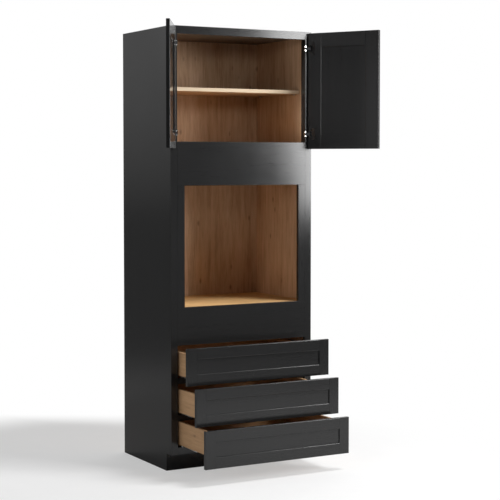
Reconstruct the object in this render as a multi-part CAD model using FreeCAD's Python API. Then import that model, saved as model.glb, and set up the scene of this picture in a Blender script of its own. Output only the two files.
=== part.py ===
import FreeCAD, Part
import os

# Tall oven cabinet with a face frame, two framed doors, an oven opening and three drawers.
# Millimetres. Origin on the floor, on the centre line, in the rear plane that meets the wall.
# +X is right seen from the front, +Y points to the wall, +Z is up.
# Doors and drawers are drawn shut, then swung and pulled out to the stored pose.

# Overall
WIDTH = 838.0
HEIGHT = 2286.0
DEPTH = 584.0
TOE_HEIGHT = 89.0
TOE_RECESS = 57.0

# Sheet goods of the carcass
SIDE_THICK = 16.0
DECK_THICK = 16.0
BACK_THICK = 9.0
NAILER_THICK = 12.0
NAILER_HEIGHT = 89.0
SHELF_THICK = 19.0
DADO_DEPTH = 6.0
TOP_INSET = 11.0

# Face frame
FRAME_THICK = 19.0
STILE_WIDTH = 38.0
TOP_RAIL = 41.0
BOTTOM_RAIL = 38.0
DRAWER_RAIL = 31.0
OVEN_FILLER = 41.25
TENON_THICK = 7.0
TENON_LENGTH = 12.0
TENON_SHOULDER = 6.0
HINGE_BATTEN = 22.0
EASE = 0.7

# Heights of the bays
OVEN_BASE = 848.0
OVEN_HEIGHT = 625.0
UPPER_FLOOR = 1698.0
SHELF_RISE = 282.0
SHELF_SETBACK = 100.0
SHELF_CLEAR = 2.0

# Shelf pins
PIN_RADIUS = 2.5
PIN_HOLE_CLEAR = 0.05
PIN_DEPTH = 10.0
PIN_HEAD_RADIUS = 4.5
PIN_HEAD_LENGTH = 9.0
PIN_HEAD_FLAT = 1.5
PIN_INSET = 45.0

# Framed fronts, shared by the doors and the drawers
FRONT_THICK = 19.0
FRONT_RECESS = 6.0
PANEL_THICK = 8.0
GROOVE_DEPTH = 10.0
PANEL_CLEAR = 0.5
CLOSED_GAP = 3.0

# Doors
DOOR_REVEAL = 5.0
DOOR_CENTRE_GAP = 3.0
DOOR_TOP_DROP = 8.0
DOOR_LAP = 35.0
DOOR_FRAME = 76.0
DOOR_OPEN = 120.0

# Concealed hinges
HINGE_INSET = 80.0
PIVOT_EDGE = 7.6
PIVOT_RADIUS = 1.5
PIVOT_CLEAR = 0.05
EYE_RADIUS = 3.0
CUP_RADIUS = 17.5
CUP_EDGE = 4.0
CUP_WALL = 1.2
CUP_FLOOR = 1.0
CUP_FIT = 0.1
CUP_ROOM = 0.4
EAR_THICK = 2.4
FLANGE_THICK = 1.0
FLANGE_LENGTH = 62.0
FLANGE_WIDTH = 15.0
FLANGE_CORNER = 5.0
ARM_HEIGHT = 12.0
ARM_THICK = 2.4
ARM_SIDE_ROOM = 0.8
BASE_HEIGHT = 28.0
BASE_THICK = 2.4
BASE_DEPTH = 9.0
BASE_CORNER = 3.0
WRAP_WIDTH = 9.0
WRAP_THICK = 1.2

# Drawer fronts
FRONT_HEIGHT = 189.0
FRONT_GAP = 2.5
FRONT_REVEAL = 1.0
FRONT_DROP = 2.0
FRONT_LAP = 16.25
SILL_LAP = 6.5
FRONT_FRAME = 57.0

# Drawer boxes
BOX_HEIGHT = 120.0
BOX_WALL = 12.7
BOX_SIDE_ROOM = 9.5
BOX_REAR_ROOM = 33.0
BOX_BOTTOM = 6.0
BOX_BOTTOM_RISE = 13.0
BOX_GROOVE = 6.0
TAIL_COUNT = 4
TAIL_SLOPE = 6.0
TAIL_SHARE = 0.66
DRAWER_NAMES = ("lower", "middle", "upper")
DRAWER_OUT = (357.0, 258.0, 160.0)

# Three-member drawer slides, under the box bottom
SLIDE_WIDTH = 36.0
SLIDE_DROP = 13.0
SLIDE_CHANNEL = 8.0
SLIDE_METAL = 1.5
SLIDE_LIP = 6.0
SLIDE_PLAY = 0.3
SLIDE_WEB = 8.0
SLIDE_BOX_ROOM = 2.0
SLIDE_FRONT_INSET = 2.0
SLIDE_END_ROOM = 24.0
MIDDLE_SHARE = 0.5
MEMBER_INSET = 12.0
MEMBER_REAR_INSET = 8.0
BRACKET_HEIGHT = 36.0
BRACKET_PLATE = 2.5
BRACKET_TONGUE = 30.0
BRACKET_TONGUE_RISE = 4.0

# Places that follow from the sizes
HALF = WIDTH / 2
INNER = HALF - SIDE_THICK
FRAME_INNER = HALF - STILE_WIDTH
OVEN_HALF = FRAME_INNER - OVEN_FILLER
FRONT = -DEPTH
FRAME_BACK = FRONT + FRAME_THICK
TOE_FACE = FRONT + TOE_RECESS
BACK_REAR = -NAILER_THICK
BACK_FACE = BACK_REAR - BACK_THICK
LEAF_BACK = FRONT - CLOSED_GAP
LEAF_FRONT = LEAF_BACK - FRONT_THICK
GROOVE_FRONT = FRONT_RECESS
GROOVE_BACK = FRONT_RECESS + PANEL_THICK
BAY_FLOOR = TOE_HEIGHT + BOTTOM_RAIL
OVEN_TOP = OVEN_BASE + OVEN_HEIGHT
FRONT_PITCH = FRONT_HEIGHT + FRONT_GAP
FRONT_LOWS = [TOE_HEIGHT - FRONT_DROP + i * FRONT_PITCH for i in range(len(DRAWER_NAMES))]
RAIL_TOPS = [BAY_FLOOR] + [low + FRONT_LAP for low in FRONT_LOWS[1:]]
SILL_LOW = FRONT_LOWS[-1] + FRONT_HEIGHT - SILL_LAP
BOX_HALF = FRAME_INNER - BOX_SIDE_ROOM
BOX_INNER = BOX_HALF - BOX_WALL
BOX_FRONT = LEAF_BACK
BOX_REAR = BACK_FACE - BOX_REAR_ROOM
SLIDE_X = BOX_INNER - SLIDE_BOX_ROOM - SLIDE_WIDTH / 2
SLIDE_TALL = SLIDE_DROP + BOX_BOTTOM_RISE
DOOR_LOW = UPPER_FLOOR - DOOR_LAP
DOOR_HIGH = HEIGHT - DOOR_TOP_DROP
DOOR_EDGE = HALF - DOOR_REVEAL
PIVOT_DEPTH = FRONT_THICK / 2
PIVOT_X = DOOR_EDGE - PIVOT_EDGE
PIVOT_Y = LEAF_BACK - PIVOT_DEPTH
CUP_X = DOOR_EDGE - CUP_EDGE - CUP_RADIUS
CUP_INSIDE = PIVOT_DEPTH + EYE_RADIUS + CUP_ROOM
HINGE_HEIGHTS = (DOOR_LOW + HINGE_INSET, DOOR_HIGH - HINGE_INSET)

PARALLEL = 0.001
X_AXIS = FreeCAD.Vector(1, 0, 0)
Y_AXIS = FreeCAD.Vector(0, 1, 0)
Z_AXIS = FreeCAD.Vector(0, 0, 1)
ORIGIN = FreeCAD.Vector(0, 0, 0)


def block(x, y, z):
    """Box between the low and high value on each axis."""
    corner = FreeCAD.Vector(x[0], y[0], z[0])
    return Part.makeBox(x[1] - x[0], y[1] - y[0], z[1] - z[0], corner)


def prism(corners, travel):
    """Solid swept straight from a closed outline of points."""
    outline = Part.makePolygon(corners + corners[:1])
    return Part.Face(outline).extrude(travel)


def rod(radius, centre, axis, length):
    """Cylinder with one end at the centre point."""
    return Part.makeCylinder(radius, length, centre, axis)


def mirrored(shape):
    """The same shape on the other side of the centre line."""
    return shape.mirror(ORIGIN, X_AXIS)


def both_sides(shapes):
    """The shapes followed by their mirror images."""
    return list(shapes) + [mirrored(shape) for shape in shapes]


def rounded(shape, axis, radius, chosen=None):
    """The shape with its edges along one axis rounded; chosen picks them by their middle point."""
    edges = []
    for edge in shape.Edges:
        start, end = edge.Vertexes[0].Point, edge.Vertexes[-1].Point
        along = (end - start).cross(axis).Length < PARALLEL
        if along and (chosen is None or chosen((start + end) / 2)):
            edges.append(edge)
    return shape.makeFillet(radius, edges)


def eased_bar(u, v, place, travel):
    """Bar with four eased long edges; u and v are the low and high values of its section."""
    corners = [
        (u[0] + EASE, v[0]),
        (u[1] - EASE, v[0]),
        (u[1], v[0] + EASE),
        (u[1], v[1] - EASE),
        (u[1] - EASE, v[1]),
        (u[0] + EASE, v[1]),
        (u[0], v[1] - EASE),
        (u[0], v[0] + EASE),
    ]
    return prism([place(*corner) for corner in corners], travel)


def save(node, solids):
    """Write one node, as one solid or as a group of separate solids."""
    shape = solids[0] if len(solids) == 1 else Part.makeCompound(solids)
    shape.exportStep("parts/" + node + ".step")


# Face frame

def frame_upright(x, z):
    """Upright of the face frame."""
    def place(u, v):
        return FreeCAD.Vector(u, v, z[0])
    return eased_bar(x, (FRONT, FRAME_BACK), place, Z_AXIS * (z[1] - z[0]))


def frame_tenon(side, z):
    """Stub tenon of a rail, in the stile on the given side (-1 left, 1 right)."""
    middle = (FRONT + FRAME_BACK) / 2
    ends = sorted((side * FRAME_INNER, side * (FRAME_INNER + TENON_LENGTH)))
    y = (middle - TENON_THICK / 2, middle + TENON_THICK / 2)
    return block(ends, y, (z[0] + TENON_SHOULDER, z[1] - TENON_SHOULDER))


def frame_rail(z):
    """Rail between the stiles, with a stub tenon at each end."""
    def place(u, v):
        return FreeCAD.Vector(-FRAME_INNER, v, u)
    bar = eased_bar(z, (FRONT, FRAME_BACK), place, X_AXIS * (2 * FRAME_INNER))
    return bar.fuse([frame_tenon(-1, z), frame_tenon(1, z)])


def make_face_frame():
    rails = {
        "top_rail": (HEIGHT - TOP_RAIL, HEIGHT),
        "oven_header": (OVEN_TOP, UPPER_FLOOR),
        "oven_sill": (SILL_LOW, OVEN_BASE),
        "upper_drawer_rail": (RAIL_TOPS[2] - DRAWER_RAIL, RAIL_TOPS[2]),
        "lower_drawer_rail": (RAIL_TOPS[1] - DRAWER_RAIL, RAIL_TOPS[1]),
        "bottom_rail": (TOE_HEIGHT, BAY_FLOOR),
    }
    stile = frame_upright((FRAME_INNER, HALF), (TOE_HEIGHT, HEIGHT))
    stile = stile.cut([frame_tenon(1, z) for z in rails.values()])
    filler = frame_upright((OVEN_HALF, FRAME_INNER), (OVEN_BASE, OVEN_TOP))
    batten = block(
        (FRAME_INNER, INNER),
        (FRAME_BACK, FRAME_BACK + HINGE_BATTEN),
        (UPPER_FLOOR, HEIGHT - TOP_INSET - DECK_THICK),
    )
    for node, z in rails.items():
        save(node, [frame_rail(z)])
    save("right_stile", [stile, batten])
    save("left_stile", [mirrored(stile), mirrored(batten)])
    save("right_oven_filler", [filler])
    save("left_oven_filler", [mirrored(filler)])


# Carcass

def deck(top):
    """Horizontal panel housed in the side panels, between face frame and back."""
    reach = INNER + DADO_DEPTH
    return block((-reach, reach), (FRAME_BACK, BACK_FACE), (top - DECK_THICK, top))


def shelf_pin_places():
    """Where the right-hand shelf pins leave the side panel: (y, z) of each axis."""
    z = UPPER_FLOOR + SHELF_RISE - SHELF_THICK - PIN_HEAD_FLAT
    front = FRONT + SHELF_SETBACK + PIN_INSET
    rear = BACK_FACE - SHELF_CLEAR - PIN_INSET
    return [(front, z), (rear, z)]


def shelf_pin(y, z):
    """Pin in the side panel, with a head cut flat for the shelf to lie on."""
    shank = rod(PIN_RADIUS, FreeCAD.Vector(INNER, y, z), X_AXIS, PIN_DEPTH)
    head = rod(PIN_HEAD_RADIUS, FreeCAD.Vector(INNER - PIN_HEAD_LENGTH, y, z), X_AXIS, PIN_HEAD_LENGTH)
    above = block(
        (INNER - PIN_HEAD_LENGTH, INNER),
        (y - PIN_HEAD_RADIUS, y + PIN_HEAD_RADIUS),
        (z + PIN_HEAD_FLAT, z + PIN_HEAD_RADIUS),
    )
    return head.cut(above).fuse(shank)


def make_carcass():
    housed = INNER + DADO_DEPTH
    bottom_under = BAY_FLOOR - DECK_THICK
    decks = {
        "top_panel": deck(HEIGHT - TOP_INSET),
        "upper_deck": deck(UPPER_FLOOR),
        "oven_deck": deck(OVEN_BASE),
        "bottom_panel": deck(BAY_FLOOR),
    }
    back = block((-housed, housed), (BACK_FACE, BACK_REAR), (TOE_HEIGHT, HEIGHT))
    outline = [
        FreeCAD.Vector(INNER, 0, 0),
        FreeCAD.Vector(INNER, 0, HEIGHT),
        FreeCAD.Vector(INNER, FRAME_BACK, HEIGHT),
        FreeCAD.Vector(INNER, FRAME_BACK, TOE_HEIGHT),
        FreeCAD.Vector(INNER, TOE_FACE, TOE_HEIGHT),
        FreeCAD.Vector(INNER, TOE_FACE, 0),
    ]
    pin_holes = []
    for y, z in shelf_pin_places():
        start = FreeCAD.Vector(INNER, y, z)
        pin_holes.append(rod(PIN_RADIUS + PIN_HOLE_CLEAR, start, X_AXIS, PIN_DEPTH))
    side = prism(outline, X_AXIS * SIDE_THICK).cut(list(decks.values()) + [back] + pin_holes)
    for node, panel in decks.items():
        save(node, [panel])
    save("back_panel", [back])
    save("right_side_panel", [side])
    save("left_side_panel", [mirrored(side)])

    between = (-INNER, INNER)
    nailer_y = (BACK_REAR, 0)
    nailers = [
        block(between, nailer_y, (HEIGHT - NAILER_HEIGHT, HEIGHT)),
        block(between, nailer_y, (OVEN_BASE - NAILER_HEIGHT, OVEN_BASE)),
    ]
    save("hanging_rails", nailers)
    save("rear_base_rail", [block(between, nailer_y, (0, bottom_under))])
    toe_y = (TOE_FACE, TOE_FACE + DECK_THICK)
    save("toe_kick_board", [block(between, toe_y, (0, bottom_under))])

    shelf_top = UPPER_FLOOR + SHELF_RISE
    shelf_half = INNER - SHELF_CLEAR
    shelf_y = (FRONT + SHELF_SETBACK, BACK_FACE - SHELF_CLEAR)
    def shelf_place(u, v):
        return FreeCAD.Vector(-shelf_half, u, v)
    shelf = eased_bar(shelf_y, (shelf_top - SHELF_THICK, shelf_top), shelf_place, X_AXIS * (2 * shelf_half))
    save("shelf", [shelf])
    save("shelf_pins", both_sides([shelf_pin(y, z) for y, z in shelf_pin_places()]))


# Framed fronts

def grooved_bar(width, place, travel):
    """Frame member with eased edges and a panel groove along one edge.

    place(u, v) takes the distance from the outer edge and from the front face.
    """
    corners = [
        (EASE, 0),
        (width - EASE, 0),
        (width, EASE),
        (width, GROOVE_FRONT),
        (width - GROOVE_DEPTH, GROOVE_FRONT),
        (width - GROOVE_DEPTH, GROOVE_BACK),
        (width, GROOVE_BACK),
        (width, FRONT_THICK - EASE),
        (width - EASE, FRONT_THICK),
        (EASE, FRONT_THICK),
        (0, FRONT_THICK - EASE),
        (0, EASE),
    ]
    return prism([place(*corner) for corner in corners], travel)


def framed_stile(edge, inward, width, z):
    """Upright of a framed front; inward is the X direction from its outer edge (-1 or 1)."""
    def place(u, v):
        return FreeCAD.Vector(edge + inward * u, LEAF_FRONT + v, z[0])
    return grooved_bar(width, place, Z_AXIS * (z[1] - z[0]))


def framed_rail(edge, inward, width, x):
    """Rail of a framed front, with a tongue at each end for the stile's groove."""
    def place(u, v):
        return FreeCAD.Vector(x[0], LEAF_FRONT + v, edge + inward * u)
    bar = grooved_bar(width, place, X_AXIS * (x[1] - x[0]))
    tongue_y = (LEAF_FRONT + GROOVE_FRONT, LEAF_FRONT + GROOVE_BACK)
    tongue_z = sorted((edge, edge + inward * (width - GROOVE_DEPTH)))
    low_end = block((x[0] - GROOVE_DEPTH, x[0]), tongue_y, tongue_z)
    high_end = block((x[1], x[1] + GROOVE_DEPTH), tongue_y, tongue_z)
    return bar.fuse([low_end, high_end])


def framed_front(x, z, width):
    """Stiles (low, high), rails (low, high) and panel of a framed front in its shut place."""
    rail_x = (x[0] + width, x[1] - width)
    stiles = [framed_stile(x[0], 1, width, z), framed_stile(x[1], -1, width, z)]
    rails = [framed_rail(z[0], 1, width, rail_x), framed_rail(z[1], -1, width, rail_x)]
    hidden = GROOVE_DEPTH - PANEL_CLEAR
    panel = block(
        (rail_x[0] - hidden, rail_x[1] + hidden),
        (LEAF_FRONT + GROOVE_FRONT, LEAF_FRONT + GROOVE_BACK),
        (z[0] + width - hidden, z[1] - width + hidden),
    )
    return stiles, rails, panel


# Doors and their concealed hinges, drawn for the right-hand door

def arm_room(height, depth):
    """Space beside the pivot that the hinge arm swings through, out to the door's edge."""
    tall = ARM_HEIGHT / 2 + ARM_SIDE_ROOM
    y = (LEAF_BACK - depth, LEAF_BACK + FLANGE_THICK)
    return block((PIVOT_X, DOOR_EDGE), y, (height - tall, height + tall))


def cup_pocket(height):
    """Bore for the hinge cup in the door's hinge stile, open to the edge for the arm."""
    depth = CUP_INSIDE + CUP_FLOOR
    bore = rod(CUP_RADIUS + CUP_FIT, FreeCAD.Vector(CUP_X, LEAF_BACK - depth, height), Y_AXIS, depth)
    return bore.fuse(arm_room(height, CUP_INSIDE))


def hinge_cup(height):
    """Cup with its flange on the door's back face, two ears and the pivot pin."""
    depth = CUP_INSIDE + CUP_FLOOR
    floor = FreeCAD.Vector(CUP_X, LEAF_BACK - depth, height)
    body = rod(CUP_RADIUS, floor, Y_AXIS, depth)
    flange = block(
        (CUP_X - FLANGE_WIDTH, CUP_X),
        (LEAF_BACK, LEAF_BACK + FLANGE_THICK),
        (height - FLANGE_LENGTH / 2, height + FLANGE_LENGTH / 2),
    )
    rim = rod(CUP_RADIUS + CUP_WALL, FreeCAD.Vector(CUP_X, LEAF_BACK, height), Y_AXIS, FLANGE_THICK)
    inside = FreeCAD.Vector(CUP_X, LEAF_BACK - CUP_INSIDE, height)
    hollow = rod(CUP_RADIUS - CUP_WALL, inside, Y_AXIS, CUP_INSIDE + FLANGE_THICK)
    shell = body.fuse([rounded(flange, Y_AXIS, FLANGE_CORNER), rim])
    shell = shell.cut(hollow).cut(arm_room(height, CUP_INSIDE))
    tall = ARM_HEIGHT / 2 + ARM_SIDE_ROOM
    ears = []
    for low in (height - tall - EAR_THICK, height + tall):
        ear = block(
            (PIVOT_X - EYE_RADIUS, DOOR_EDGE),
            (LEAF_BACK - CUP_INSIDE - CUP_FLOOR, PIVOT_Y + EYE_RADIUS),
            (low, low + EAR_THICK),
        )
        ears.append(ear.common(body))
    pin_length = 2 * (tall + EAR_THICK / 2)
    pin = rod(PIVOT_RADIUS, FreeCAD.Vector(PIVOT_X, PIVOT_Y, height - pin_length / 2), Z_AXIS, pin_length)
    return shell.fuse(ears + [pin]).removeSplitter()


def hinge_base(height):
    """Plate bent round the stile's inner front corner."""
    low = height - BASE_HEIGHT / 2
    inner = FRAME_INNER - BASE_THICK
    rear = FRONT + BASE_DEPTH
    end = FRAME_INNER + WRAP_WIDTH
    outline = [
        FreeCAD.Vector(inner, rear, low),
        FreeCAD.Vector(inner, FRONT - WRAP_THICK, low),
        FreeCAD.Vector(end, FRONT - WRAP_THICK, low),
        FreeCAD.Vector(end, FRONT, low),
        FreeCAD.Vector(FRAME_INNER, FRONT, low),
        FreeCAD.Vector(FRAME_INNER, rear, low),
    ]
    plate = prism(outline, Z_AXIS * BASE_HEIGHT)
    plate = rounded(plate, X_AXIS, BASE_CORNER, lambda middle: middle.y > rear - PARALLEL)
    return rounded(plate, Y_AXIS, BASE_CORNER, lambda middle: middle.x > end - PARALLEL)


def hinge_arm(height):
    """Base on the stile and the arm that reaches into the cup, with an eye on the pin."""
    low = height - ARM_HEIGHT / 2
    pivot = FreeCAD.Vector(PIVOT_X, PIVOT_Y, low)
    bend = FreeCAD.Vector(FRAME_INNER - BASE_THICK / 2, FRONT - ARM_THICK / 2, low)
    along = (pivot - bend).normalize()
    across = Z_AXIS.cross(along) * (ARM_THICK / 2)
    strip = prism([bend - across, pivot - across, pivot + across, bend + across], Z_AXIS * ARM_HEIGHT)
    bend_round = rod(ARM_THICK / 2, bend, Z_AXIS, ARM_HEIGHT)
    eye = rod(EYE_RADIUS, pivot, Z_AXIS, ARM_HEIGHT)
    hole = rod(PIVOT_RADIUS + PIVOT_CLEAR, pivot, Z_AXIS, ARM_HEIGHT)
    return hinge_base(height).fuse([strip, bend_round, eye]).cut(hole).removeSplitter()


def swung(shape):
    """The right-hand door's piece at the stored door angle."""
    turned = shape.copy()
    turned.rotate(FreeCAD.Vector(PIVOT_X, PIVOT_Y, 0), Z_AXIS, DOOR_OPEN)
    return turned


def make_doors():
    x = (DOOR_CENTRE_GAP / 2, DOOR_EDGE)
    stiles, rails, panel = framed_front(x, (DOOR_LOW, DOOR_HIGH), DOOR_FRAME)
    meeting_stile, hinge_stile = stiles
    hinge_stile = hinge_stile.cut([cup_pocket(height) for height in HINGE_HEIGHTS])
    pieces = {
        "door_hinge_stile": [hinge_stile],
        "door_meeting_stile": [meeting_stile],
        "door_rails": rails,
        "door_panel": [panel],
        "hinge_cups": [hinge_cup(height) for height in HINGE_HEIGHTS],
    }
    for name, solids in pieces.items():
        open_solids = [swung(solid) for solid in solids]
        save("right_" + name, open_solids)
        save("left_" + name, [mirrored(solid) for solid in open_solids])
    arms = [hinge_arm(height) for height in HINGE_HEIGHTS]
    save("right_hinge_arms", arms)
    save("left_hinge_arms", [mirrored(arm) for arm in arms])


# Drawers and their slides

def tails(y_end, y_shoulder, low):
    """Dovetails on one end of the right-hand box side, widest at the end."""
    pitch = BOX_HEIGHT / TAIL_COUNT
    wide = pitch * TAIL_SHARE / 2
    narrow = wide - BOX_WALL / TAIL_SLOPE
    solids = []
    for i in range(TAIL_COUNT):
        middle = low + (i + 0.5) * pitch
        outline = [
            FreeCAD.Vector(BOX_INNER, y_end, middle - wide),
            FreeCAD.Vector(BOX_INNER, y_end, middle + wide),
            FreeCAD.Vector(BOX_INNER, y_shoulder, middle + narrow),
            FreeCAD.Vector(BOX_INNER, y_shoulder, middle - narrow),
        ]
        solids.append(prism(outline, X_AXIS * BOX_WALL))
    return solids


def drawer_box(low):
    """Sides, ends (front, back) and bottom of a dovetailed drawer box."""
    z = (low, low + BOX_HEIGHT)
    front_shoulder = BOX_FRONT + BOX_WALL
    rear_shoulder = BOX_REAR - BOX_WALL
    bottom = block(
        (-BOX_INNER - BOX_GROOVE, BOX_INNER + BOX_GROOVE),
        (front_shoulder - BOX_GROOVE, rear_shoulder + BOX_GROOVE),
        (low + BOX_BOTTOM_RISE, low + BOX_BOTTOM_RISE + BOX_BOTTOM),
    )
    wall_x = (BOX_INNER, BOX_HALF)
    side = block(wall_x, (BOX_FRONT, BOX_REAR), z)
    ends = []
    for y_end, y_shoulder in ((BOX_FRONT, front_shoulder), (BOX_REAR, rear_shoulder)):
        corner_y = sorted((y_end, y_shoulder))
        end_tails = tails(y_end, y_shoulder, low)
        side = side.cut(block(wall_x, corner_y, z).cut(end_tails))
        ends.append(block((-BOX_HALF, BOX_HALF), corner_y, z).cut(both_sides(end_tails)).cut(bottom))
    notch_half = SLIDE_WIDTH / 2 + SLIDE_BOX_ROOM
    notch = block(
        (SLIDE_X - notch_half, SLIDE_X + notch_half),
        (rear_shoulder, BOX_REAR),
        (low, low + BOX_BOTTOM_RISE),
    )
    ends[1] = ends[1].cut(both_sides([notch]))
    return both_sides([side.cut(bottom)]), ends, bottom


def slide_prism(section, base, y):
    """Solid with the slide's section (offset from its middle, height), run from front to rear."""
    corners = [FreeCAD.Vector(SLIDE_X + u, y[0], base + w) for u, w in section]
    return prism(corners, Y_AXIS * (y[1] - y[0]))


def channel_section():
    """C channel with inward lips, open side up."""
    out = SLIDE_WIDTH / 2
    wall = out - SLIDE_METAL
    lip = out - SLIDE_LIP
    under_lip = SLIDE_CHANNEL - SLIDE_METAL
    right_half = [
        (out, 0),
        (out, SLIDE_CHANNEL),
        (lip, SLIDE_CHANNEL),
        (lip, under_lip),
        (wall, under_lip),
        (wall, SLIDE_METAL),
    ]
    return right_half + [(-u, w) for u, w in reversed(right_half)]


def middle_section():
    """I section whose flanges run in the channels above and below it."""
    flange = SLIDE_WIDTH / 2 - SLIDE_METAL - SLIDE_PLAY
    web = SLIDE_WEB / 2
    low = SLIDE_METAL + SLIDE_PLAY
    flange_top = SLIDE_CHANNEL - SLIDE_METAL - SLIDE_PLAY
    right_half = [
        (flange, low),
        (flange, flange_top),
        (web, flange_top),
        (web, SLIDE_TALL - flange_top),
        (flange, SLIDE_TALL - flange_top),
        (flange, SLIDE_TALL - low),
    ]
    return right_half + [(-u, w) for u, w in reversed(right_half)]


def make_drawers():
    cabinet_members = []
    brackets = []
    fixed_rear = BACK_FACE - SLIDE_END_ROOM
    member_y = (BOX_FRONT + BOX_WALL + MEMBER_INSET, BOX_REAR - MEMBER_REAR_INSET)
    upside_down = [(u, SLIDE_TALL - w) for u, w in channel_section()]
    inside = SLIDE_WIDTH / 2 - SLIDE_METAL
    for name, out, front_low, rail_top in zip(DRAWER_NAMES, DRAWER_OUT, FRONT_LOWS, RAIL_TOPS):
        pulled = Y_AXIS * -out
        half_pulled = pulled * MIDDLE_SHARE
        front_x = (-HALF + FRONT_REVEAL, HALF - FRONT_REVEAL)
        front_z = (front_low, front_low + FRONT_HEIGHT)
        stiles, rails, panel = framed_front(front_x, front_z, FRONT_FRAME)
        sides, ends, bottom = drawer_box(rail_top + SLIDE_DROP)
        pieces = {
            "front_stiles": stiles,
            "front_rails": rails,
            "front_panel": [panel],
            "box_sides": sides,
            "box_ends": ends,
            "box_bottom": [bottom],
            "slide_runners": both_sides([slide_prism(upside_down, rail_top, member_y)]),
        }
        for piece, solids in pieces.items():
            save(name + "_drawer_" + piece, [solid.translated(pulled) for solid in solids])
        middles = both_sides([slide_prism(middle_section(), rail_top, member_y)])
        save(name + "_slide_middles", [solid.translated(half_pulled) for solid in middles])

        fixed_y = (FRONT + SLIDE_FRONT_INSET, fixed_rear)
        cabinet_members += both_sides([slide_prism(channel_section(), rail_top, fixed_y)])
        plate = block(
            (SLIDE_X - SLIDE_WIDTH / 2, SLIDE_X + SLIDE_WIDTH / 2),
            (BACK_FACE - BRACKET_PLATE, BACK_FACE),
            (rail_top, rail_top + BRACKET_HEIGHT),
        )
        tongue = block(
            (SLIDE_X - inside, SLIDE_X + inside),
            (BACK_FACE - BRACKET_TONGUE, BACK_FACE - BRACKET_PLATE),
            (rail_top + SLIDE_METAL, rail_top + SLIDE_METAL + BRACKET_TONGUE_RISE),
        )
        brackets += both_sides([plate.fuse(tongue)])
    save("cabinet_slide_members", cabinet_members)
    save("slide_rear_brackets", brackets)


os.makedirs("parts", exist_ok=True)
make_face_frame()
make_carcass()
make_doors()
make_drawers()
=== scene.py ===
"""Looks of a tall oven cabinet: black satin paint outside, natural wood inside, zinc-plated hardware."""
import math

import bpy
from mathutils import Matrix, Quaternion, Vector

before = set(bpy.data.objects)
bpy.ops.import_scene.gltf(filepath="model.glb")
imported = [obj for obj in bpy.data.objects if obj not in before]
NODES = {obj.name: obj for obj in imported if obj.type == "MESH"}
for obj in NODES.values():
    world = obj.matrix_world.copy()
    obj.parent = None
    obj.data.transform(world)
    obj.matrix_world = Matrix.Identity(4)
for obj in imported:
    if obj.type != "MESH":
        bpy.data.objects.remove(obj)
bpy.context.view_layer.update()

# Camera, at the photograph's place
CAMERA_PLACE = (-3.5512, -6.9983, 1.5989)
CAMERA_YAW = 29.263
CAMERA_PITCH = -2.816
CAMERA_LENS = 100.96
CAMERA_SENSOR = 36.0
CAMERA_SHIFT_UP = -0.04

# Doors stand open by this angle at rest
DOOR_OPEN = math.radians(120)
# The hinge arms stand in front of this plane, their base plates behind it
HINGE_ARM_START = -0.5853

# Cosines past which a face looks one way, and past which it looks exactly that way
FACING = 0.5
FACING_EXACTLY = 0.99

# Rounding of painted edges: on drawer rails and the right meeting stile, and in the right door's recess
EASED_EDGE = 0.005
EASED_RECESS = 0.015
EASED_SAMPLES = 8

# Grain: how far a pattern is drawn out along the board
PAINT_STRETCH = 22.0
WOOD_STRETCH = 14.0
KNOT_STRETCH = 2.2
STEEL_STRETCH = 30.0

# Most of a noise lies between these values
NOISE_LOW = 0.3
NOISE_HIGH = 0.7

# Paint, plastic and plywood tones
PAINT_DARK = (0.0135, 0.0135, 0.0137)
PAINT_PALE = (0.0165, 0.0165, 0.0168)
PLASTIC_DARK = (0.62, 0.62, 0.60)
PLASTIC_PALE = (0.70, 0.70, 0.68)
PLY_DARK = (0.30, 0.19, 0.10)
PLY_PALE = (0.62, 0.47, 0.30)

# Wood tones: pale, middle and dark
CABINET_TONES = ((0.70, 0.49, 0.33), (0.555, 0.37, 0.232), (0.36, 0.218, 0.124))
DECK_TONES = ((0.84, 0.57, 0.28), (0.72, 0.46, 0.21), (0.52, 0.31, 0.13))
# Top panel: wood darkened to paint in the shade under it; its top face takes the same dark tones
TOP_PAINTED_SHADE_TONES = ((0.205, 0.148, 0.102), (0.172, 0.122, 0.083), (0.125, 0.085, 0.056))
DRAWER_TONES = ((0.64, 0.41, 0.235), (0.525, 0.325, 0.178), (0.385, 0.224, 0.115))
EDGE_TONES = ((0.75, 0.62, 0.46), (0.68, 0.55, 0.40), (0.56, 0.42, 0.28))
# Where the dark, middle and pale tones lie on the grain, and the slow shading of the whole board
TONE_PLACES = (0.32, 0.48, 0.66)
BOARD_SHADE_DARK = (0.82, 0.80, 0.78)
BOARD_SHADE_PALE = (1.06, 1.05, 1.04)
# Flecks and knots: from full at the first distance to none at the second, and their share of the colour
FLECK_REACH = (0.05, 0.16)
FLECK_SHARE = 0.35
KNOT_REACH = (0.03, 0.13)
KNOT_SHARE = 0.6
KNOT_DARKNESS = 0.3

# Steel tones: dull and bright
ZINC_TONES = ((0.52, 0.53, 0.55), (0.68, 0.69, 0.70))
NICKEL_TONES = ((0.74, 0.74, 0.73), (0.86, 0.86, 0.85))
# Near-black steel for the hinge arms and eyes in front of the plates, much darker than the plates
ARM_DARK_TONES = ((0.035, 0.035, 0.037), (0.055, 0.055, 0.058))
DARK_ZINC_TONES = ((0.13, 0.13, 0.135), (0.17, 0.17, 0.175))

# Floor: size, depth below the cabinet and tones
FLOOR_HALF = 40.0
FLOOR_DROP = 0.0008
FLOOR_PALE = (0.71, 0.71, 0.71)
FLOOR_DARK = (0.69, 0.69, 0.69)
# To the camera the floor shows this share of the light on it, over an even lift
FLOOR_SHARE = 0.69
FLOOR_LIFT = 0.44
# Distances from this point between which the floor fades out: as the camera sees it, and for other rays
FLOOR_CENTRE = (-0.5, -0.4, 0.0)
FLOOR_NEAR = 1.25
FLOOR_FAR = 1.95
POOL_NEAR = 1.5
POOL_FAR = 5.0
# What the far floor gives to rays that don't come from the camera
FAR_GLOW = 0.118
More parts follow.
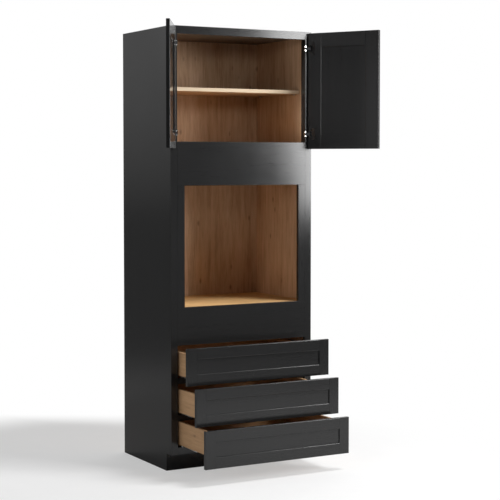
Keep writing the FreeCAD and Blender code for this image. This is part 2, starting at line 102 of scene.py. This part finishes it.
# Behind the cabinet the camera sees the floor fade to white between these depths
BACKDROP_TOWARD = (0.489, 0.872, 0.0)
BACKDROP_START = 0.55
BACKDROP_END = 1.0

# Studio light: each glow is a direction, the cosines where it starts and is full, and its strength
FILL_AMBIENT = 0.045
FILL_GLOWS = [
    ((-0.92, -0.39, 0.10), 0.85, 1.00, 0.46),
    ((-0.75, 0.65, 0.10), 0.50, 1.00, 0.83),
    ((0.75, 0.65, 0.10), 0.50, 1.00, 0.98),
    ((0.55, 0.55, 0.63), 0.70, 1.00, 0.50),
]
# What glossy surfaces mirror: white overhead, which starts and is full at these heights, and glows
OVERHEAD_START = 0.35
OVERHEAD_FULL = 0.75
OVERHEAD_STRENGTH = 1.0
ROOM_GLOWS = [
    ((-0.42, 0.89, 0.20), 0.955, 1.00, 0.53),
    ((-1.00, -0.05, -0.10), 0.965, 0.995, 0.42),
    ((0.05, -1.00, 0.05), 0.945, 0.985, 5.00),
    ((0.62, -0.55, 0.55), 0.965, 0.997, 4.00),
    ((0.62, -0.30, 0.72), 0.965, 0.997, 4.00),
    ((0.80, -0.10, 0.60), 0.865, 0.95, 2.10),
    ((0.80, 0.60, 0.15), 0.60, 0.95, 1.00),
]

# The front right panel, and an unmirrored fill from the same place
PANEL_PLACE = (2.87, -3.87, 2.2)
PANEL_TARGET = (0.3, -0.6, 1.8)
PANEL_SIZE = (1.2, 1.9)
PANEL_ROLL = 10.5
# Two upright strips on the left
STRIP_SIZE = (0.4, 0.9)
STRIP_SPREAD = 80.0


class ShaderTree:
    """Adds nodes to a node tree; an input is given as a value or as another node's output."""

    def __init__(self, tree):
        self.tree = tree
        tree.nodes.clear()

    def add(self, kind, inputs=None, **settings):
        node = self.tree.nodes.new("ShaderNode" + kind)
        for name, value in settings.items():
            setattr(node, name, value)
        for name, value in (inputs or {}).items():
            if isinstance(value, bpy.types.NodeSocket):
                self.tree.links.new(value, node.inputs[name])
            else:
                node.inputs[name].default_value = value
        return node

    def object_place(self):
        return self.add("TexCoord").outputs["Object"]

    def noise(self, vector, scale, detail=3.0, roughness=0.55, distortion=0.0):
        node = self.add("TexNoise", {
            "Vector": vector,
            "Scale": scale,
            "Detail": detail,
            "Roughness": roughness,
            "Distortion": distortion,
        })
        return node.outputs["Fac"]

    def cells(self, vector, scale):
        """Distance from the nearest of scattered points."""
        node = self.add("TexVoronoi", {"Vector": vector, "Scale": scale, "Randomness": 1.0})
        return node.outputs["Distance"]

    def ramp(self, factor, stops):
        node = self.add("ValToRGB", {"Fac": factor})
        elements = node.color_ramp.elements
        while len(elements) < len(stops):
            elements.new(0.5)
        for element, (place, colour) in zip(elements, stops):
            element.position = place
            element.color = (*colour, 1.0)
        return node.outputs["Color"]

    def two_tone(self, noise, dark, pale):
        return self.ramp(noise, [(NOISE_LOW, dark), (NOISE_HIGH, pale)])

    def span(self, value, low, high, to_low, to_high):
        node = self.add("MapRange", {
            "Value": value,
            "From Min": low,
            "From Max": high,
            "To Min": to_low,
            "To Max": to_high,
        })
        return node.outputs["Result"]

    def between(self, noise, least, most):
        return self.span(noise, NOISE_LOW, NOISE_HIGH, least, most)

    def switch(self, flag, when_off, when_on):
        return self.span(flag, 0.0, 1.0, when_off, when_on)

    def soft_step(self, value, start, full, strength=1.0):
        """Smooth rise from nothing at start to a strength at full."""
        node = self.add("MapRange", {
            "Value": value,
            "From Min": start,
            "From Max": full,
            "To Max": strength,
        }, interpolation_type="SMOOTHSTEP")
        return node.outputs["Result"]

    def blend(self, factor, first, second, mode="MIX"):
        node = self.add("MixRGB", {"Fac": factor, "Color1": first, "Color2": second}, blend_type=mode)
        return node.outputs["Color"]

    def mix(self, factor, first, second):
        return self.add("Mix", {"Factor": factor, "A": first, "B": second}).outputs["Result"]

    def combine(self, operation, first, second):
        return self.add("Math", {0: first, 1: second}, operation=operation).outputs[0]

    def dot(self, vector, toward):
        return self.add("VectorMath", {0: vector, 1: toward}, operation="DOT_PRODUCT").outputs["Value"]

    def bump(self, height, strength, distance, normal=None):
        node = self.add("Bump", {"Height": height, "Strength": strength, "Distance": distance})
        if normal:
            self.tree.links.new(normal, node.inputs["Normal"])
        return node.outputs["Normal"]

    def finish(self, shader, output="OutputMaterial"):
        self.add(output, {"Surface": shader})


def new_material(name):
    material = bpy.data.materials.new(name)
    material.use_nodes = True
    return material, ShaderTree(material.node_tree)


def grain_vector(tree, axis, stretch, turn=0.0):
    """Coordinates that run with the board; turn is the board's angle about the vertical."""
    coordinates = tree.object_place()
    mapping = tree.add("Mapping", {
        "Vector": coordinates,
        "Rotation": (0.0, 0.0, turn),
        "Scale": [stretch if letter == axis else 1.0 for letter in "xyz"],
    }, vector_type="TEXTURE")
    return coordinates, mapping.outputs["Vector"]


def eased_normal(tree, axis, radius):
    """Normal rounded at the edges that run along the board's axis."""
    rounded = tree.add("Bevel", {"Radius": radius}, samples=EASED_SAMPLES).outputs["Normal"]
    across = [0.0 if letter == axis else 1.0 for letter in "xyz"]
    flat = tree.add("VectorMath", {0: rounded, 1: across}, operation="MULTIPLY").outputs["Vector"]
    return tree.add("VectorMath", {0: flat}, operation="NORMALIZE").outputs["Vector"]


def black_paint(name, axis, turn=0.0, eased=None):
    """Satin black paint over open grain: faint pores along the board and a slightly uneven sheen."""
    material, tree = new_material(name)
    place, along = grain_vector(tree, axis, PAINT_STRETCH, turn)
    pores = tree.noise(along, scale=420.0, detail=4.0, roughness=0.6)
    waves = tree.noise(along, scale=60.0)
    orange_peel = tree.noise(place, scale=260.0, detail=2.0)
    clouds = tree.noise(place, scale=5.0)
    grain = tree.blend(0.5, pores, waves)
    gloss = tree.blend(0.5, clouds, pores)
    height = tree.blend(0.35, grain, orange_peel)
    normal = eased_normal(tree, axis, eased) if eased else None
    shader = tree.add("BsdfPrincipled", {
        "Base Color": tree.ramp(grain, [(0.25, PAINT_DARK), (0.75, PAINT_PALE)]),
        "Roughness": tree.between(gloss, 0.12, 0.17),
        "Specular IOR Level": 0.5,
        "Normal": tree.bump(height, strength=0.06, distance=0.0002, normal=normal),
    })
    tree.finish(shader.outputs["BSDF"])
    return material


def natural_wood(name, axis, tones):
    """Clear-coated wood: slow tone bands, fine fibre, small dark flecks and a few knots."""
    pale, middle, dark = tones
    material, tree = new_material(name)
    place, along = grain_vector(tree, axis, WOOD_STRETCH)
    knot_vector = grain_vector(tree, axis, KNOT_STRETCH)[1]
    bands = tree.noise(along, scale=16.0, detail=4.0, roughness=0.5, distortion=0.6)
    lines = tree.noise(along, scale=70.0, roughness=0.6, distortion=0.3)
    fibre = tree.noise(along, scale=230.0, detail=4.0, roughness=0.62)
    clouds = tree.noise(place, scale=2.3, detail=2.0)
    grain = tree.blend(0.28, tree.blend(0.55, bands, lines), fibre)
    colour = tree.ramp(grain, list(zip(TONE_PLACES, (dark, middle, pale))))
    shade = tree.two_tone(clouds, BOARD_SHADE_DARK, BOARD_SHADE_PALE)
    colour = tree.blend(1.0, colour, shade, "MULTIPLY")
    fleck = tree.span(tree.cells(along, scale=21.0), *FLECK_REACH, FLECK_SHARE, 0.0)
    colour = tree.blend(fleck, colour, (*dark, 1.0))
    knot = tree.span(tree.cells(knot_vector, scale=14.0), *KNOT_REACH, KNOT_SHARE, 0.0)
    colour = tree.blend(knot, colour, (*[KNOT_DARKNESS * part for part in dark], 1.0))
    shader = tree.add("BsdfPrincipled", {
        "Base Color": colour,
        "Roughness": tree.between(fibre, 0.42, 0.56),
        "Specular IOR Level": 0.12,
        "Normal": tree.bump(tree.blend(0.5, fibre, lines), strength=0.1, distance=0.0008),
    })
    tree.finish(shader.outputs["BSDF"])
    return material


def plated_steel(name, tones, smooth=0.26, rough=0.42):
    """Plated steel with fine draw lines."""
    material, tree = new_material(name)
    place, along = grain_vector(tree, "y", STEEL_STRETCH)
    lines = tree.noise(along, scale=900.0)
    spangle = tree.noise(place, scale=90.0, detail=2.0)
    shader = tree.add("BsdfPrincipled", {
        "Base Color": tree.two_tone(spangle, *tones),
        "Metallic": 1.0,
        "Roughness": tree.between(lines, smooth, rough),
        "Normal": tree.bump(lines, strength=0.08, distance=0.0003),
    })
    tree.finish(shader.outputs["BSDF"])
    return material


def moulded_plastic(name):
    """Pale grey moulded plastic with a fine texture."""
    material, tree = new_material(name)
    place = tree.object_place()
    skin = tree.noise(place, scale=700.0, detail=2.0)
    clouds = tree.noise(place, scale=12.0, detail=2.0)
    shader = tree.add("BsdfPrincipled", {
        "Base Color": tree.two_tone(clouds, PLASTIC_DARK, PLASTIC_PALE),
        "Roughness": tree.between(skin, 0.42, 0.58),
        "Normal": tree.bump(skin, strength=0.15, distance=0.0003),
    })
    tree.finish(shader.outputs["BSDF"])
    return material


def ply_edge(name, axis):
    """Sawn plywood edge: plies laid across the sheet's thickness."""
    material, tree = new_material(name)
    place = tree.object_place()
    wobble = tree.noise(place, scale=40.0, detail=2.0)
    fibre = tree.noise(place, scale=500.0)
    plies = tree.add("TexWave", {
        "Vector": place,
        "Scale": 70.0,
        "Distortion": 0.8,
        "Detail": 2.0,
        "Detail Scale": 2.0,
    }, bands_direction=axis)
    tone = tree.blend(0.3, plies.outputs["Fac"], fibre)
    tone = tree.blend(0.15, tone, wobble)
    shader = tree.add("BsdfPrincipled", {
        "Base Color": tree.two_tone(tone, PLY_DARK, PLY_PALE),
        "Roughness": tree.between(fibre, 0.6, 0.75),
        "Specular IOR Level": 0.25,
        "Normal": tree.bump(fibre, strength=0.2, distance=0.0005),
    })
    tree.finish(shader.outputs["BSDF"])
    return material


# Finishes
PAINT = {axis: black_paint("black_paint_" + axis, axis) for axis in "xz"}
PAINT["drawer_rail"] = black_paint("black_paint_drawer_rail", "x", eased=EASED_EDGE)
PAINT["meeting_stile"] = black_paint("black_paint_meeting_stile", "z", eased=EASED_EDGE)
PAINT["door_recess"] = black_paint("black_paint_door_recess", "z", eased=EASED_RECESS)
PAINT["left_door"] = black_paint("black_paint_left_door", "x", DOOR_OPEN)
PAINT["right_door"] = black_paint("black_paint_right_door", "x", -DOOR_OPEN)
WOOD = {axis: natural_wood("cabinet_wood_" + axis, axis, CABINET_TONES) for axis in "xz"}
DRAWER_WOOD = {axis: natural_wood("drawer_wood_" + axis, axis, DRAWER_TONES) for axis in "xy"}
DECK_WOOD = natural_wood("deck_wood", "x", DECK_TONES)
TOP_WOOD_PAINTED_SHADE = natural_wood("top_wood_painted_shade", "x", TOP_PAINTED_SHADE_TONES)
SHELF_EDGE = natural_wood("shelf_edge_wood", "x", EDGE_TONES)
PLY_EDGE = {axis: ply_edge("ply_edge_" + axis.lower(), axis) for axis in "XYZ"}
STEEL = plated_steel("zinc_steel", ZINC_TONES)
NICKEL = plated_steel("satin_nickel", NICKEL_TONES, smooth=0.10, rough=0.18)
ARM_DARK_STEEL = plated_steel("dark_arm_steel", ARM_DARK_TONES)
CUP_STEEL = plated_steel("dark_zinc", DARK_ZINC_TONES)
PLASTIC = moulded_plastic("bracket_plastic")


def dress(node, materials, choose=None):
    """Give a node its materials; choose maps a face to the number of its material."""
    mesh = NODES[node].data
    mesh.materials.clear()
    for material in materials:
        mesh.materials.append(material)
    for polygon in mesh.polygons:
        polygon.material_index = choose(polygon) if choose else 0


def side_panel_face(outward):
    """Paint outside, on the toe notch and underneath, wood inside, plies on the top and rear edges."""
    def choose(face):
        if face.normal.y > FACING or face.normal.z > FACING:
            return 2
        return 1 if face.normal.x * outward < -FACING else 0
    return choose


def shelf_face(face):
    """Pale edge band at the front, wood elsewhere."""
    return 1 if face.normal.y < -FACING else 0


def sheet_face(axis):
    """Wood on the sheet's two faces, plies on its edges."""
    def choose(face):
        return 0 if abs(face.normal[axis]) > FACING else 1
    return choose


def hinge_face(face):
    """Bright base plate on the stile, black arm and eye in front of it."""
    return 0 if face.center.y > HINGE_ARM_START else 1


def recess_face(face):
    """Flat paint, rounded where the right hinge stile looks along the open door into its recess."""
    along_door = Vector((-math.cos(DOOR_OPEN), -math.sin(DOOR_OPEN), 0.0))
    return 1 if face.normal.dot(along_door) > FACING_EXACTLY else 0


def end_face(axis):
    """Long grain, or end grain where the face looks along the board."""
    def choose(face):
        return 1 if abs(face.normal[axis]) > FACING else 0
    return choose


def dress_carcass():
    for side, outward in (("left", -1), ("right", 1)):
        dress(side + "_side_panel", [PAINT["z"], WOOD["z"], PLY_EDGE["X"]], side_panel_face(outward))
        dress(side + "_stile", [PAINT["z"]])
        dress(side + "_oven_filler", [PAINT["z"]])
        dress(side + "_hinge_arms", [NICKEL, ARM_DARK_STEEL], hinge_face)
    for rail in ("top_rail", "oven_header", "oven_sill", "upper_drawer_rail", "lower_drawer_rail",
                 "bottom_rail", "toe_kick_board"):
        dress(rail, [PAINT["x"]])
    dress("back_panel", [WOOD["z"], PLY_EDGE["Y"]], sheet_face(1))
    # The top panel's darkened wood is painted shade on its underside
    dress("top_panel", [TOP_WOOD_PAINTED_SHADE, PLY_EDGE["Z"]], sheet_face(2))
    for board in ("upper_deck", "oven_deck", "bottom_panel"):
        dress(board, [DECK_WOOD, PLY_EDGE["Z"]], sheet_face(2))
    for board in ("hanging_rails", "rear_base_rail"):
        dress(board, [WOOD["x"]])
    dress("shelf", [WOOD["x"], SHELF_EDGE], shelf_face)
    dress("shelf_pins", [STEEL])
    dress("cabinet_slide_members", [STEEL])
    dress("slide_rear_brackets", [PLASTIC])


def dress_doors():
    for side in ("left", "right"):
        door = side + "_door_"
        dress(door + "panel", [PAINT["z"]])
        dress(door + "rails", [PAINT[side + "_door"]])
        dress(side + "_hinge_cups", [CUP_STEEL])
    dress("left_door_hinge_stile", [PAINT["z"]])
    dress("left_door_meeting_stile", [PAINT["z"]])
    dress("right_door_hinge_stile", [PAINT["z"], PAINT["door_recess"]], recess_face)
    dress("right_door_meeting_stile", [PAINT["meeting_stile"]])


def dress_drawers():
    for name in ("lower", "middle", "upper"):
        drawer = name + "_drawer_"
        dress(drawer + "front_stiles", [PAINT["z"]])
        dress(drawer + "front_rails", [PAINT["drawer_rail"]])
        dress(drawer + "front_panel", [PAINT["x"]])
        dress(drawer + "box_sides", [DRAWER_WOOD["y"], DRAWER_WOOD["x"]], end_face(1))
        dress(drawer + "box_ends", [DRAWER_WOOD["x"], DRAWER_WOOD["y"]], end_face(0))
        dress(drawer + "box_bottom", [DRAWER_WOOD["x"]])
        dress(drawer + "slide_runners", [STEEL])
        dress(name + "_slide_middles", [STEEL])


def make_floor():
    """Pale floor that takes the shadow near the cabinet and fades to white further off."""
    mesh = bpy.data.meshes.new("floor")
    corners = [
        (x * FLOOR_HALF, y * FLOOR_HALF, -FLOOR_DROP)
        for x, y in ((-1, -1), (1, -1), (1, 1), (-1, 1))
    ]
    mesh.from_pydata(corners, [], [(0, 1, 2, 3)])
    floor = bpy.data.objects.new("floor", mesh)
    bpy.context.scene.collection.objects.link(floor)
    material, tree = new_material("pale_floor")
    place = tree.object_place()
    camera = tree.add("LightPath").outputs["Is Camera Ray"]
    grain = tree.noise(place, scale=6.0)
    lit = tree.add("BsdfDiffuse", {"Color": tree.two_tone(grain, FLOOR_DARK, FLOOR_PALE)})
    lift = tree.add("Emission", {"Strength": FLOOR_LIFT / (1.0 - FLOOR_SHARE)})
    near = tree.add("MixShader", {
        "Fac": tree.switch(camera, 0.0, 1.0 - FLOOR_SHARE),
        1: lit.outputs["BSDF"],
        2: lift.outputs["Emission"],
    })
    far = tree.add("Emission", {"Strength": tree.switch(camera, FAR_GLOW, 1.0)})
    distance = tree.add("VectorMath", {0: place, 1: FLOOR_CENTRE}, operation="DISTANCE").outputs["Value"]
    start = tree.switch(camera, POOL_NEAR, FLOOR_NEAR)
    end = tree.switch(camera, POOL_FAR, FLOOR_FAR)
    fade = tree.soft_step(distance, start, end)
    behind = tree.soft_step(tree.dot(place, BACKDROP_TOWARD), BACKDROP_START, BACKDROP_END, camera)
    mixed = tree.add("MixShader", {
        "Fac": tree.combine("MAXIMUM", fade, behind),
        1: near.outputs["Shader"],
        2: far.outputs["Emission"],
    })
    tree.finish(mixed.outputs["Shader"])
    mesh.materials.append(material)


def add_glows(tree, direction, light, glows):
    """Add to a light the soft glows round their directions."""
    for toward, start, full, strength in glows:
        facing = tree.dot(direction, Vector(toward).normalized())
        light = tree.combine("ADD", light, tree.soft_step(facing, start, full, strength))
    return light


def make_world():
    """White to the camera, a soft fill on surfaces, and a studio that glossy surfaces mirror.

    The studio is white overhead and behind on the right. It has bright soft boxes in front, and dark zones
    beside the cabinet.
    """
    world = bpy.data.worlds.new("studio")
    world.use_nodes = True
    bpy.context.scene.world = world
    tree = ShaderTree(world.node_tree)
    path = tree.add("LightPath").outputs
    direction = tree.add("TexCoord").outputs["Generated"]
    height = tree.add("SeparateXYZ", {"Vector": direction}).outputs["Z"]
    overhead = tree.soft_step(height, OVERHEAD_START, OVERHEAD_FULL, OVERHEAD_STRENGTH)
    room = add_glows(tree, direction, overhead, ROOM_GLOWS)
    fill = add_glows(tree, direction, FILL_AMBIENT, FILL_GLOWS)
    light = tree.mix(path["Is Glossy Ray"], fill, room)
    clear = tree.combine("MAXIMUM", path["Is Camera Ray"], path["Is Transmission Ray"])
    background = tree.add("Background", {
        "Color": (1.0, 1.0, 1.0, 1.0),
        "Strength": tree.mix(clear, light, 1.0),
    })
    tree.finish(background.outputs["Background"], "OutputWorld")


def add_softbox(name, place, target, size, power, roll=0.0, spread=180.0, mirrored=False):
    """Area light; mirrored ones also show in glossy surfaces."""
    light = bpy.data.lights.new(name, "AREA")
    light.shape = "RECTANGLE"
    light.size, light.size_y = size
    light.energy = power
    light.spread = math.radians(spread)
    lamp = bpy.data.objects.new(name, light)
    lamp.location = place
    aim = (Vector(target) - Vector(place)).to_track_quat("-Z", "Y")
    lamp.rotation_euler = (aim @ Quaternion((0.0, 0.0, 1.0), math.radians(roll))).to_euler()
    bpy.context.scene.collection.objects.link(lamp)
    lamp.visible_camera = False
    lamp.visible_glossy = mirrored


def add_lamps():
    """Key above on the right, panel and fill in front, weak lamps for what faces left and for the shelf."""
    add_softbox("key", place=(1.6, -2.3, 4.9), target=(0.0, -0.4, 1.0), size=(1.5, 1.3), power=167.0)
    add_softbox("front_right_panel", place=PANEL_PLACE, target=PANEL_TARGET,
                size=PANEL_SIZE, power=110.0, roll=PANEL_ROLL, mirrored=True)
    add_softbox("front_right_fill", place=PANEL_PLACE, target=PANEL_TARGET,
                size=PANEL_SIZE, power=32.0, roll=PANEL_ROLL)
    add_softbox("upper_strip", place=(-2.3, -1.95, 2.2), target=(0.5, -0.8, 2.0),
                size=STRIP_SIZE, power=1.14, spread=STRIP_SPREAD)
    add_softbox("lower_strip", place=(-2.3, -1.95, 0.9), target=(0.0, -0.8, 0.4),
                size=STRIP_SIZE, power=0.68, spread=STRIP_SPREAD)
    add_softbox("door_spot", place=(-1.9, -0.8, 3.3), target=(0.56, -0.80, 1.83),
                size=(0.3, 0.3), power=1.85, spread=25.0)
    add_softbox("shelf_spot", place=(-1.6, -4.2, 2.6), target=(0.05, -0.2, 2.0),
                size=(0.5, 0.5), power=0.28, spread=22.0)


def make_camera():
    camera = bpy.data.objects.new("camera", bpy.data.cameras.new("camera"))
    camera.location = CAMERA_PLACE
    camera.rotation_euler = (math.radians(90 + CAMERA_PITCH), 0.0, math.radians(-CAMERA_YAW))
    camera.data.sensor_width = CAMERA_SENSOR
    camera.data.lens = CAMERA_LENS
    camera.data.shift_y = CAMERA_SHIFT_UP
    bpy.context.scene.collection.objects.link(camera)
    bpy.context.scene.camera = camera


dress_carcass()
dress_doors()
dress_drawers()
make_floor()
make_world()
add_lamps()
make_camera()
bpy.context.scene.view_settings.view_transform = "Standard"
